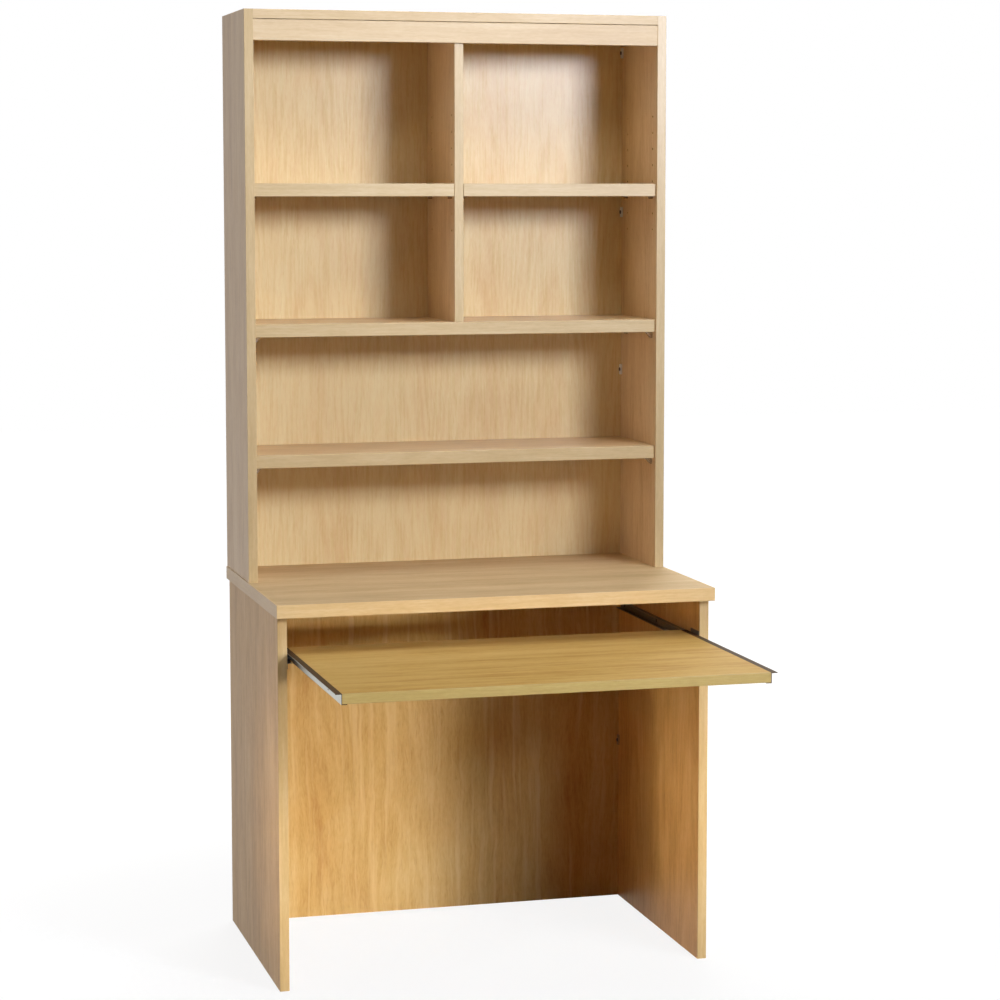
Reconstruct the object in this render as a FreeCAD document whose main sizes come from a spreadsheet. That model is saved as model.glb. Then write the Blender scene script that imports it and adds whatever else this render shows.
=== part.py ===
# Student desk with a tall open hutch on it and a pull-out keyboard shelf on roller runners
# Millimetres: X to the right, Y to the back, Z up. The origin is on the floor, under the middle of the box
# that the whole part fills with its keyboard shelf drawn out, as it stands at rest.

import FreeCAD
import Part
import Sketcher
import os
import re

document = FreeCAD.newDocument("student_desk")
sheet = document.addObject("Spreadsheet::Sheet", "Sizes")

# Driving sizes
sizes = {
    # Boards and their edging
    "panel_thickness": "18",
    "back_thickness": "15",
    "edging_thickness": "2",
    "edging_round": "0.8",
    # Desk
    "desk_width": "848",
    "desk_depth": "545",
    "desk_height": "728",
    "desk_top_thickness": "25",
    "side_overhang": "5",
    "front_overhang": "22",
    "rear_overhang": "6",
    # Keyboard shelf
    "keyboard_hold": "71",
    "keyboard_gap": "69",
    "keyboard_thickness": "18",
    "keyboard_setback": "2",
    "keyboard_rear_gap": "12",
    # Roller runners
    "runner_space": "14",
    "runner_sheet": "1.2",
    "runner_flange": "10.5",
    "runner_lip": "9",
    "runner_top_flange": "12",
    "runner_setback": "2",
    "runner_rear_margin": "3",
    "runner_lift": "0.6",
    "runner_mouth": "32",
    "tab_length": "46",
    "tab_rise": "9",
    "tab_drop": "10",
    "roller_radius": "7",
    "roller_width": "7",
    "roller_gap": "0.3",
    "roller_chamfer": "0.6",
    "roller_inset": "15",
    "roller_stand_off": "4",
    "roller_end_play": "0.1",
    "axle_radius": "2.5",
    "axle_collar_radius": "4",
    "axle_head_thickness": "0.8",
    "axle_clearance": "0.05",
    "runner_screw_margin": "28",
    "runner_slot_setback": "110",
    "runner_slot_drop": "11",
    "runner_slot_length": "9",
    "runner_slot_radius": "2",
    # Screws and dowels
    "screw_radius": "2",
    "screw_head_radius": "3.6",
    "screw_head_height": "1.4",
    "screw_recess_length": "3.8",
    "screw_recess_width": "0.9",
    "screw_recess_depth": "1",
    "screw_bite": "11",
    "screw_clearance": "0.05",
    "screw_end_gap": "1",
    "dowel_radius": "4",
    "dowel_face_bite": "10",
    "dowel_end_bite": "20",
    "dowel_clearance": "0.05",
    "dowel_end_gap": "1",
    "dowel_margin": "60",
    # Corner blocks
    "block_reach": "3.6",
    "block_rise": "8.6",
    "block_length": "21",
    "block_round": "0.6",
    "block_peg_radius": "1.2",
    "block_peg_bite": "8",
    "block_peg_spacing": "13",
    "block_peg_clearance": "0.05",
    "block_peg_end_gap": "1",
    "desk_block_height": "333",
    "desk_block_drop": "36",
    "desk_top_block_margin": "150",
    "middle_block_drop": "88",
    "upper_block_drop": "30",
    "top_block_drop": "44",
    # Hutch
    "hutch_side_inset": "2",
    "hutch_depth": "245",
    "hutch_height": "1097",
    "hutch_back_inset": "3",
    "fascia_height": "40",
    "fascia_groove": "0.7",
    "fascia_setback": "1.2",
    "shelf_thickness": "25",
    "shelf_setback": "6",
    "shelf_side_gap": "0.5",
    "shelf_rear_gap": "0.5",
    "middle_shelf_height": "473",
    "lower_shelf_height": "220",
    "divider_notch_gap": "0.4",
    # Pin holes and shelf supports
    "pin_radius": "2.5",
    "pin_hole_clearance": "0.05",
    "pin_hole_depth": "8",
    "pin_bite": "7",
    "pin_reach": "8",
    "pin_seat_gap": "0.05",
    "pin_pitch": "32",
    "pin_first_row": "676",
    "pin_front_margin": "28",
    "pin_column_spacing": "160",
    "support_width": "9",
    "support_reach": "12",
    "support_height": "13",
    "support_plate": "2.5",
    "support_foot": "3",
    "spare_hole_setback": "206",
    "spare_hole_drop": "47",
    # How far a cutting tool runs past the face it opens
    "cut_overrun": "1",
}
for row, (alias, number) in enumerate(sizes.items(), start=1):
    sheet.set(f"A{row}", alias)
    sheet.set(f"B{row}", number)
    sheet.setAlias(f"B{row}", alias)
document.recompute()

# Counts
pin_row_count = 8
rows_below_pins_count = 2
runner_screw_count = 3

# Places that several pieces share, as expressions in the sheet's names
side_outer = "(desk_width / 2 - side_overhang)"
side_inner = f"({side_outer} - panel_thickness)"
side_depth = "(desk_depth - front_overhang - rear_overhang)"
keyboard_depth = f"({side_depth} - back_thickness - keyboard_rear_gap - keyboard_setback)"
keyboard_reach = f"({keyboard_depth} - keyboard_hold - front_overhang)"
slab_front = f"(({keyboard_reach} - desk_depth) / 2)"
slab_back = f"({slab_front} + desk_depth)"
slab_under = "(desk_height - desk_top_thickness)"
side_front = f"({slab_front} + front_overhang)"
side_back = f"({slab_back} - rear_overhang)"
desk_back_face = f"({side_back} - back_thickness)"

keyboard_front = f"({slab_front} - {keyboard_reach})"
keyboard_side = f"({side_inner} - runner_space)"
keyboard_top = f"({slab_under} - keyboard_gap)"
keyboard_under = f"({keyboard_top} - keyboard_thickness)"

runner_length = f"({keyboard_depth} - runner_rear_margin)"
runner_front = f"({side_front} + runner_setback)"
channel_top = f"({keyboard_top} - runner_sheet - runner_lift)"
channel_height = "(2 * (roller_radius + roller_gap + runner_sheet))"
channel_bottom = f"({channel_top} - {channel_height})"
front_roller_y = f"({runner_front} + roller_inset)"
front_roller_z = f"({keyboard_top} - runner_sheet - roller_gap - roller_radius)"
rear_roller_y = f"({keyboard_front} + {runner_length} - roller_inset)"
rear_roller_z = f"({channel_bottom} + runner_sheet + roller_gap + roller_radius)"

hutch_outer = "(desk_width / 2 - hutch_side_inset)"
hutch_inner = f"({hutch_outer} - panel_thickness)"
hutch_front = f"({slab_back} - hutch_depth)"
hutch_back_face = f"({slab_back} - hutch_back_inset - back_thickness)"
hutch_top = "(desk_height + hutch_height)"
hutch_top_under = f"({hutch_top} - panel_thickness)"
fascia_top = f"({hutch_top_under} - fascia_groove)"
fascia_under = f"({fascia_top} - fascia_height)"
fascia_front = f"({hutch_front} + fascia_setback)"
shelf_front = f"({hutch_front} + shelf_setback)"
shelf_back = f"({hutch_back_face} - shelf_rear_gap)"
middle_under = "(desk_height + middle_shelf_height)"
middle_top = f"({middle_under} + shelf_thickness)"
lower_under = "(desk_height + lower_shelf_height)"
pin_row_z = f"(desk_height + pin_first_row + {rows_below_pins_count} * pin_pitch)"
upper_under = f"({pin_row_z} + pin_radius + pin_seat_gap)"
front_column = f"({hutch_front} + pin_front_margin)"
pin_columns = [front_column, f"({front_column} + pin_column_spacing)"]

# Left and right pieces differ only in the sign of X
sides = {"left": "-1", "right": "1"}
across_axes = {"x": "yz", "y": "xz", "z": "xy"}

pieces = {}
cutters = {}


# Helpers that make one solid and tie it to the sheet
def bind(item, prop, text):
    """Ties a property to an expression whose words are names in the sheet."""
    words = re.split(r"([a-z][a-z_]*)", text)
    item.setExpression(prop, "".join("Sizes." + word if word in sizes else word for word in words))


def block(label, x, y, z):
    """A plain box between a low and a high place on each axis."""
    item = document.addObject("Part::Box", label)
    for axis, prop, (low, high) in zip("xyz", ("Length", "Width", "Height"), (x, y, z)):
        bind(item, prop, f"({high}) - ({low})")
        bind(item, f"Placement.Base.{axis}", low)
    return item


def rounded_block(label, x, y, z, radius, shown, hidden=()):
    """A box whose edges on the shown faces are rounded, but not where a shown face meets a hidden one."""
    body = document.addObject("PartDesign::Body", label)
    stock = body.newObject("PartDesign::AdditiveBox", label + "_stock")
    for axis, prop, (low, high) in zip("xyz", ("Length", "Width", "Height"), (x, y, z)):
        bind(stock, prop, f"({high}) - ({low})")
        bind(body, f"Placement.Base.{axis}", low)

    # A unit box has its edges in the same order as any other box
    def lies_on(edge, face):
        axis, end = face
        return abs(getattr(edge.CenterOfMass, axis) - (end == "high")) < edge.Length / 4

    names = []
    for number, edge in enumerate(Part.makeBox(1, 1, 1).Edges, start=1):
        if any(lies_on(edge, face) for face in shown) and not any(lies_on(edge, face) for face in hidden):
            names.append(f"Edge{number}")
    document.recompute()
    fillet = body.newObject("PartDesign::Fillet", label + "_round")
    fillet.Base = (stock, names)
    bind(fillet, "Radius", radius)
    body.Tip = fillet
    return body


def rod(label, radius, axis, low, high, across):
    """A cylinder along an axis, from low to high, at its place on the two other axes."""
    turns = {
        "x": FreeCAD.Rotation(FreeCAD.Vector(0, 1, 0), 90),
        "y": FreeCAD.Rotation(FreeCAD.Vector(1, 0, 0), -90),
        "z": FreeCAD.Rotation(),
    }
    item = document.addObject("Part::Cylinder", label)
    item.Placement = FreeCAD.Placement(FreeCAD.Vector(), turns[axis])
    bind(item, "Radius", radius)
    bind(item, "Height", f"({high}) - ({low})")
    bind(item, f"Placement.Base.{axis}", low)
    for other, place in zip(across_axes[axis], across):
        bind(item, f"Placement.Base.{other}", place)
    return item


def joined(label, parts):
    item = document.addObject("Part::MultiFuse", label)
    item.Shapes = parts
    return item


def gathered(label, parts):
    item = document.addObject("Part::Compound", label)
    item.Links = parts
    return item


def cut_from(names, tool):
    for name in names:
        cutters.setdefault(name, []).append(tool)


def run(start, direction, length):
    """The low and high ends of a stretch that leaves start in the direction given by a sign."""
    end = f"({start} + {direction} * ({length}))"
    return (start, end) if direction == "1" else (end, start)


def mirrored(sign, near, far):
    """Low and high X of a stretch from near to far, both counted from the middle towards one side."""
    return (near, far) if sign == "1" else (f"(-{far})", f"(-{near})")


# Fasteners
def screw(axis, direction, face, length, across, through):
    """A cross-head screw whose head lies on face. Its pilot hole goes into every piece that it passes."""
    shank = rod("screw_shank", "screw_radius", axis, *run(face, direction, length), across)
    back = "-1" if direction == "1" else "1"
    head = rod("screw_head", "screw_head_radius", axis, *run(face, back, "screw_head_height"), across)
    deep = f"{length} + screw_end_gap"
    hole = rod("screw_hole", "screw_radius + screw_clearance", axis, *run(face, direction, deep), across)
    cut_from(through, hole)
    recess_floor = f"({face} + {back} * (screw_head_height - screw_recess_depth))"
    bars = []
    for long_axis in across_axes[axis]:
        extents = {axis: run(recess_floor, back, "screw_recess_depth + cut_overrun")}
        for other, place in zip(across_axes[axis], across):
            breadth = "screw_recess_length" if other == long_axis else "screw_recess_width"
            extents[other] = (f"({place} - {breadth} / 2)", f"({place} + {breadth} / 2)")
        bars.append(block("screw_recess", extents["x"], extents["y"], extents["z"]))
    crossed = document.addObject("Part::Cut", "screw")
    crossed.Base = joined("screw_blank", [shank, head])
    crossed.Tool = gathered("screw_cross", bars)
    return crossed


def dowel(axis, joint, direction, across, end_piece, face_piece):
    """A dowel in the end of one board and the face of another, which lies in the direction given."""
    back = "-1" if direction == "1" else "1"
    ends = [run(joint, direction, "dowel_face_bite"), run(joint, back, "dowel_end_bite")]
    low, high = (ends[1][0], ends[0][1]) if direction == "1" else (ends[0][0], ends[1][1])
    hole_radius = "dowel_radius + dowel_clearance"
    hole = rod("dowel_hole", hole_radius, axis, f"{low} - dowel_end_gap", f"{high} + dowel_end_gap", across)
    cut_from([end_piece, face_piece], hole)
    return rod("dowel", "dowel_radius", axis, low, high, across)


def corner_block(blocks, sign, wall, axis, wall_place, along, side_piece, wall_piece):
    """A slim plastic block in a corner. A screw holds it to the side board, and two pegs to the other one."""
    along_axis = "z" if axis == "y" else "y"
    extents = {
        "x": mirrored(sign, f"({wall} - block_reach)", wall),
        axis: (f"({wall_place} - block_rise)", wall_place),
        along_axis: (f"({along} - block_length / 2)", f"({along} + block_length / 2)"),
    }
    facing = ("x", "low" if sign == "1" else "high")
    against = [("x", "high" if sign == "1" else "low"), (axis, "high")]
    shown = [facing, (axis, "low")]
    body = rounded_block(
        "corner_block", extents["x"], extents["y"], extents["z"], "block_round", shown, against)
    solids = [body]
    for end in ("-", "+"):
        peg_at = {
            "x": f"({sign} * ({wall} - block_reach / 2))",
            along_axis: f"({along} {end} block_peg_spacing / 2)",
        }
        across = [peg_at[other] for other in across_axes[axis]]
        root = f"({wall_place} - block_rise / 2)"
        tip = f"({wall_place} + block_peg_bite)"
        solids.append(rod("block_peg", "block_peg_radius", axis, root, tip, across))
        hole_end = f"({wall_place} + block_peg_bite + block_peg_end_gap)"
        hole_radius = "block_peg_radius + block_peg_clearance"
        cut_from([wall_piece], rod("block_peg_hole", hole_radius, axis, wall_place, hole_end, across))
    screw_at = {axis: f"({wall_place} - block_rise / 2)", along_axis: along}
    screw_across = [screw_at[other] for other in across_axes["x"]]
    inner_face = f"({sign} * ({wall} - block_reach))"
    fixing = screw("x", sign, inner_face, "block_reach + screw_bite", screw_across, [blocks, side_piece])
    return joined("pegged_block", solids), fixing


# Steel profiles, drawn as a walk round their outline in steps along the two axes of the sketch
def length_now(text):
    total = 0
    for term in text.split():
        total += float(sizes[term[1:]]) * (1 if term[0] == "+" else -1)
    return total


def steel_profile(label, sign, steps, length, place):
    """A folded strip that runs to the back. Its walk starts at place, and out is away from the middle."""
    body = document.addObject("PartDesign::Body", label)
    outline = body.newObject("Sketcher::SketchObject", label + "_outline")
    plane = [part for part in body.Origin.OriginFeatures if part.Role == "XZ_Plane"][0]
    outline.AttachmentSupport = [(plane, "")]
    outline.MapMode = "FlatFace"
    ways = {"out": (float(sign), 0), "in": (-float(sign), 0), "up": (0, 1), "down": (0, -1)}
    corner = FreeCAD.Vector()
    corners = [corner]
    for way, text in steps:
        corner = corner + FreeCAD.Vector(*ways[way], 0) * length_now(text)
        corners.append(corner)
    corners.append(FreeCAD.Vector())
    for number in range(len(corners) - 1):
        outline.addGeometry(Part.LineSegment(corners[number], corners[number + 1]), False)
    last = len(corners) - 2
    for number in range(last + 1):
        following = 0 if number == last else number + 1
        outline.addConstraint(Sketcher.Constraint("Coincident", number, 2, following, 1))
    outline.addConstraint(Sketcher.Constraint("Coincident", 0, 1, -1, 1))
    level = [way in ("out", "in") for way, text in steps] + [False]
    for number, is_level in enumerate(level):
        outline.addConstraint(Sketcher.Constraint("Horizontal" if is_level else "Vertical", number))
    last_level = max(number for number, is_level in enumerate(level) if is_level)
    for number, (way, text) in enumerate(steps):
        if number != last_level:
            added = outline.addConstraint(Sketcher.Constraint("Distance", number, length_now(text)))
            bind(outline, f"Constraints[{added}]", text)
    pad = body.newObject("PartDesign::Pad", label + "_pad")
    pad.Profile = outline
    pad.Reversed = True
    bind(pad, "Length", length)
    body.Tip = pad
    for axis, text in zip("xyz", place):
        bind(body, f"Placement.Base.{axis}", text)
    return body


# Desk top: a thick slab with edging on its front and both ends
end_core = "(desk_width / 2 - edging_thickness)"
slab_core_y = (f"({slab_front} + edging_thickness)", slab_back)
slab_z = (slab_under, "desk_height")
pieces["desk_top"] = block("desk_top_board", (f"(-{end_core})", end_core), slab_core_y, slab_z)
pieces["desk_top_edging_front"] = rounded_block(
    "desk_top_edging_front", ("(-desk_width / 2)", "(desk_width / 2)"), (slab_front, slab_core_y[0]), slab_z,
    "edging_round", [("y", "low")])
for side, sign in sides.items():
    label = f"desk_top_edging_{side}"
    outer_face = ("x", "high" if sign == "1" else "low")
    strip_x = mirrored(sign, end_core, "(desk_width / 2)")
    pieces[label] = rounded_block(
        label, strip_x, slab_core_y, slab_z, "edging_round", [outer_face], [("y", "low")])

# Desk sides: boards down to the floor, each with a front edging, doweled up into the slab
desk_dowels = []
for side, sign in sides.items():
    label = f"desk_side_{side}"
    board_x = mirrored(sign, side_inner, side_outer)
    board_front = f"({side_front} + edging_thickness)"
    board_z = ("0", slab_under)
    pieces[label] = block(label + "_board", board_x, (board_front, side_back), board_z)
    pieces[f"desk_side_edging_{side}"] = rounded_block(
        f"desk_side_edging_{side}", board_x, (side_front, board_front), board_z,
        "edging_round", [("y", "low")], [("z", "low"), ("z", "high")])
    middle_x = f"({sign} * ({side_outer} - panel_thickness / 2))"
    for dowel_y in (f"({side_front} + dowel_margin)", f"({side_back} - dowel_margin)"):
        desk_dowels.append(dowel("z", slab_under, "1", (middle_x, dowel_y), label, "desk_top"))
    spare = (f"({side_front} + spare_hole_setback)", f"({slab_under} - spare_hole_drop)")
    into_side = mirrored(sign, f"({side_inner} - cut_overrun)", f"({side_inner} + pin_hole_depth)")
    cut_from([label], rod("spare_hole", "pin_radius", "x", *into_side, spare))
pieces["desk_top_dowels"] = gathered("desk_top_dowel_set", desk_dowels)

# Desk back: a board between the sides, from the floor to the slab
pieces["desk_back"] = block(
    "desk_back_board", (f"(-{side_inner})", side_inner), (desk_back_face, side_back), ("0", slab_under))

# Corner blocks that hold the desk back to the sides, and the slab to the sides
made = {}
for name in ("desk_back_blocks", "desk_back_block_screws", "desk_top_blocks", "desk_top_block_screws"):
    made[name] = []
for side, sign in sides.items():
    label = f"desk_side_{side}"
    for height in ("desk_block_height", f"({slab_under} - desk_block_drop)"):
        solid, fixing = corner_block(
            "desk_back_blocks", sign, side_inner, "y", desk_back_face, height, label, "desk_back")
        made["desk_back_blocks"].append(solid)
        made["desk_back_block_screws"].append(fixing)
    for along in (f"({side_front} + desk_top_block_margin)", f"({desk_back_face} - desk_top_block_margin)"):
        solid, fixing = corner_block(
            "desk_top_blocks", sign, side_inner, "z", slab_under, along, label, "desk_top")
        made["desk_top_blocks"].append(solid)
        made["desk_top_block_screws"].append(fixing)
for name, parts in made.items():
    pieces[name] = gathered(name + "_set", parts)

# Keyboard shelf: a board with a front edging, carried between two runners
keyboard_core = f"({keyboard_front} + edging_thickness)"
keyboard_back = f"({keyboard_front} + {keyboard_depth})"
keyboard_x = (f"(-{keyboard_side})", keyboard_side)
keyboard_z = (keyboard_under, keyboard_top)
keyboard_y = (keyboard_core, keyboard_back)
pieces["keyboard_shelf"] = block("keyboard_shelf_board", keyboard_x, keyboard_y, keyboard_z)
pieces["keyboard_shelf_edging"] = rounded_block(
    "keyboard_shelf_edging", keyboard_x, (keyboard_front, keyboard_core), keyboard_z,
    "edging_round", [("y", "low")])

# Cabinet runners: steel channels on the desk sides, open towards the shelf, with a tall tab at the front
channel_clear = "+roller_radius +roller_radius +roller_gap +roller_gap"
channel_walk = [
    ("in", "+runner_flange"), ("up", "+runner_sheet"), ("out", "+runner_flange -runner_sheet"),
    ("up", channel_clear), ("in", "+runner_flange -runner_sheet"), ("up", "+runner_sheet"),
    ("out", "+runner_flange"),
]
runner_screws = []
for side, sign in sides.items():
    label = f"runner_cabinet_{side}"
    place = (f"({sign} * {side_inner})", runner_front, channel_bottom)
    channel = steel_profile(label + "_channel", sign, channel_walk, runner_length, place)
    web_x = mirrored(sign, f"({side_inner} - runner_sheet)", side_inner)
    tab_y = (runner_front, f"({runner_front} + tab_length)")
    tab_z = (f"({channel_bottom} - tab_drop)", f"({channel_top} + tab_rise)")
    tab = block(label + "_tab", web_x, tab_y, tab_z)
    pieces[label] = joined(label + "_steel", [channel, tab])
    flange_tip = f"({side_inner} - runner_flange)"
    mouth_x = mirrored(sign, f"({flange_tip} - cut_overrun)", f"({side_inner} - runner_sheet)")
    mouth_y = (f"({runner_front} - cut_overrun)", f"({runner_front} + runner_mouth)")
    mouth_z = (f"({channel_top} - runner_sheet)", f"({channel_top} + cut_overrun)")
    cut_from([label], block("runner_mouth_cut", mouth_x, mouth_y, mouth_z))
    screw_z = f"({channel_bottom} + {channel_height} / 2)"
    for number in range(runner_screw_count):
        first = f"({runner_front} + tab_length)"
        last = f"({runner_front} + {runner_length} - runner_screw_margin)"
        screw_y = f"({first} + {number} * ({last} - {first}) / {runner_screw_count - 1})"
        face = f"({sign} * ({side_inner} - runner_sheet))"
        through = [label, f"desk_side_{side}"]
        length = "runner_sheet + screw_bite"
        runner_screws.append(screw("x", sign, face, length, (screw_y, screw_z), through))
pieces["runner_screws"] = gathered("runner_screw_set", runner_screws)

# Shelf runners: folded steel along the sides of the shelf, with a lip under it and a flange on the roller
shelf_walk = [
    ("in", "+runner_lip +runner_sheet"), ("up", "+runner_sheet"), ("out", "+runner_lip"),
    ("up", "+keyboard_thickness"), ("out", "+runner_top_flange"), ("down", "+runner_sheet"),
    ("in", "+runner_top_flange -runner_sheet"),
]
shelf_screws = []
for side, sign in sides.items():
    label = f"runner_shelf_{side}"
    lip_under = f"({keyboard_under} - runner_sheet)"
    place = (f"({sign} * ({keyboard_side} + runner_sheet))", keyboard_front, lip_under)
    pieces[label] = steel_profile(label + "_strip", sign, shelf_walk, runner_length, place)
    slot_far = f"({keyboard_side} + runner_sheet + cut_overrun)"
    slot_x = mirrored(sign, f"({keyboard_side} - cut_overrun)", slot_far)
    slot_z = f"({keyboard_top} - runner_slot_drop)"
    slot_middle = f"({keyboard_front} + runner_slot_setback)"
    slot_y = [f"({slot_middle} {end} (runner_slot_length / 2 - runner_slot_radius))" for end in "-+"]
    slot_height = (f"({slot_z} - runner_slot_radius)", f"({slot_z} + runner_slot_radius)")
    slot_parts = [rod("runner_slot_end", "runner_slot_radius", "x", *slot_x, (y, slot_z)) for y in slot_y]
    slot_parts.append(block("runner_slot_middle", slot_x, slot_y, slot_height))
    cut_from([label], joined("runner_slot", slot_parts))
    lip_x = f"({sign} * ({keyboard_side} - runner_lip / 2))"
    for number in range(runner_screw_count):
        first = f"({keyboard_front} + runner_screw_margin)"
        last = f"({keyboard_front} + {runner_length} - runner_screw_margin)"
        screw_y = f"({first} + {number} * ({last} - {first}) / {runner_screw_count - 1})"
        through = [label, "keyboard_shelf"]
        length = "runner_sheet + screw_bite"
        shelf_screws.append(screw("z", "1", lip_under, length, (lip_x, screw_y), through))
pieces["shelf_runner_screws"] = gathered("shelf_runner_screw_set", shelf_screws)


# Rollers: nylon wheels on riveted axles, at the front of each channel and the rear of each shelf runner
def roller(label, sign, near, far, place_y, place_z):
    body = document.addObject("PartDesign::Body", label + "_wheel")
    wheel = body.newObject("PartDesign::AdditiveCylinder", label + "_tread")
    bind(wheel, "Radius", "roller_radius")
    bind(wheel, "Height", f"({far}) - ({near})")
    document.recompute()
    chamfer = body.newObject("PartDesign::Chamfer", label + "_chamfer")
    rims = [f"Edge{number}" for number, edge in enumerate(wheel.Shape.Edges, start=1) if edge.isClosed()]
    chamfer.Base = (wheel, rims)
    bind(chamfer, "Size", "roller_chamfer")
    body.Tip = chamfer
    body.Placement = FreeCAD.Placement(FreeCAD.Vector(), FreeCAD.Rotation(FreeCAD.Vector(0, 1, 0), 90))
    low, high = mirrored(sign, near, far)
    for axis, text in zip("xyz", (low, place_y, place_z)):
        bind(body, f"Placement.Base.{axis}", text)
    bore_ends = (f"({low} - cut_overrun)", f"({high} + cut_overrun)")
    bore = rod(label + "_bore", "axle_radius + axle_clearance", "x", *bore_ends, (place_y, place_z))
    cut_from([label], bore)
    return body


def axle(label, sign, shank, collar, head, place):
    """A riveted axle through a roller, with a collar on one side of it and a head on the other."""
    shank = rod(label + "_shank", "axle_radius", "x", *mirrored(sign, *shank), place)
    collar = rod(label + "_collar", "axle_collar_radius", "x", *mirrored(sign, *collar), place)
    cap = rod(label + "_head", "axle_collar_radius", "x", *mirrored(sign, *head), place)
    return joined(label, [shank, collar, cap])


roller_far = f"({side_inner} - roller_stand_off)"
roller_near = f"({roller_far} - roller_width)"
channel_web = f"({side_inner} - runner_sheet)"
shelf_web = f"({keyboard_side} + runner_sheet)"
near_stop = f"({roller_near} - roller_end_play)"
far_stop = f"({roller_far} + roller_end_play)"
front_head = (f"({near_stop} - axle_head_thickness)", near_stop)
rear_head = (far_stop, f"({far_stop} + axle_head_thickness)")
front_collar = (far_stop, channel_web)
rear_collar = (shelf_web, near_stop)
front_place = (front_roller_y, front_roller_z)
rear_place = (rear_roller_y, rear_roller_z)
front_axles = []
rear_axles = []
for side, sign in sides.items():
    for end, end_place in (("front", front_place), ("rear", rear_place)):
        label = f"{end}_roller_{side}"
        pieces[label] = roller(label, sign, roller_near, roller_far, *end_place)
    front_shank = (front_head[0], side_inner)
    rear_shank = (keyboard_side, rear_head[1])
    front_axles.append(axle(f"front_axle_{side}", sign, front_shank, front_collar, front_head, front_place))
    rear_axles.append(axle(f"rear_axle_{side}", sign, rear_shank, rear_collar, rear_head, rear_place))
    axle_hole = "axle_radius + axle_clearance"
    front_hole = mirrored(sign, channel_web, side_inner)
    cut_from([f"runner_cabinet_{side}"], rod("front_axle_hole", axle_hole, "x", *front_hole, front_place))
    rear_hole = mirrored(sign, keyboard_side, shelf_web)
    cut_from([f"runner_shelf_{side}"], rod("rear_axle_hole", axle_hole, "x", *rear_hole, rear_place))
pieces["front_roller_axles"] = gathered("front_axle_set", front_axles)
pieces["rear_roller_axles"] = gathered("rear_axle_set", rear_axles)

# Hutch sides: tall boards on the slab with front edging and two columns of blind pin holes
foot_dowels = []
for side, sign in sides.items():
    label = f"hutch_side_{side}"
    board_x = mirrored(sign, hutch_inner, hutch_outer)
    board_front = f"({hutch_front} + edging_thickness)"
    board_z = ("desk_height", hutch_top)
    pieces[label] = block(label + "_board", board_x, (board_front, slab_back), board_z)
    pieces[f"hutch_side_edging_{side}"] = rounded_block(
        f"hutch_side_edging_{side}", board_x, (hutch_front, board_front), board_z,
        "edging_round", [("y", "low")], [("z", "low"), ("z", "high")])
    into_side = mirrored(sign, f"({hutch_inner} - cut_overrun)", f"({hutch_inner} + pin_hole_depth)")
    for column in pin_columns:
        for number in range(pin_row_count):
            row_z = f"(desk_height + pin_first_row + {number} * pin_pitch)"
            hole = rod("pin_hole", "pin_radius + pin_hole_clearance", "x", *into_side, (column, row_z))
            cut_from([label], hole)
    middle_x = f"({sign} * ({hutch_outer} - panel_thickness / 2))"
    for dowel_y in (f"({hutch_front} + dowel_margin)", f"({slab_back} - dowel_margin)"):
        foot_dowels.append(dowel("z", "desk_height", "-1", (middle_x, dowel_y), label, "desk_top"))
pieces["hutch_foot_dowels"] = gathered("hutch_foot_dowel_set", foot_dowels)

# Hutch top: a board between the sides, with a front edging, and a fascia rail under its front
hutch_x = (f"(-{hutch_inner})", hutch_inner)
hutch_core = f"({hutch_front} + edging_thickness)"
hutch_top_z = (hutch_top_under, hutch_top)
pieces["hutch_top"] = block("hutch_top_board", hutch_x, (hutch_core, slab_back), hutch_top_z)
pieces["hutch_top_edging"] = rounded_block(
    "hutch_top_edging", hutch_x, (hutch_front, hutch_core), hutch_top_z, "edging_round", [("y", "low")],
    [("x", "low"), ("x", "high")])
fascia_y = (fascia_front, f"({fascia_front} + panel_thickness)")
pieces["hutch_fascia"] = rounded_block(
    "hutch_fascia_rail", hutch_x, fascia_y, (fascia_under, fascia_top), "edging_round", [("y", "low")],
    [("x", "low"), ("x", "high")])
top_dowels = []
fascia_dowels = []
for side, sign in sides.items():
    joint = f"({sign} * {hutch_inner})"
    label = f"hutch_side_{side}"
    top_z = f"({hutch_top} - panel_thickness / 2)"
    for dowel_y in (f"({hutch_front} + dowel_margin)", f"({slab_back} - dowel_margin)"):
        top_dowels.append(dowel("x", joint, sign, (dowel_y, top_z), "hutch_top", label))
    fascia_at = (f"({fascia_front} + panel_thickness / 2)", f"({fascia_under} + fascia_height / 2)")
    fascia_dowels.append(dowel("x", joint, sign, fascia_at, "hutch_fascia", label))
pieces["hutch_top_dowels"] = gathered("hutch_top_dowel_set", top_dowels)
pieces["fascia_dowels"] = gathered("fascia_dowel_set", fascia_dowels)

# Hutch back: a board between the sides, held by corner blocks
hutch_back_y = (hutch_back_face, f"({slab_back} - hutch_back_inset)")
pieces["hutch_back"] = block("hutch_back_board", hutch_x, hutch_back_y, ("desk_height", hutch_top_under))
hutch_block_solids = []
hutch_block_screws = []
for side, sign in sides.items():
    for height in (
            f"({middle_under} - middle_block_drop)",
            f"({pin_row_z} - upper_block_drop)",
            f"({hutch_top_under} - top_block_drop)"):
        solid, fixing = corner_block(
            "hutch_blocks", sign, hutch_inner, "y", hutch_back_face, height,
            f"hutch_side_{side}", "hutch_back")
        hutch_block_solids.append(solid)
        hutch_block_screws.append(fixing)
pieces["hutch_blocks"] = gathered("hutch_block_set", hutch_block_solids)
pieces["hutch_block_screws"] = gathered("hutch_block_screw_set", hutch_block_screws)


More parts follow.
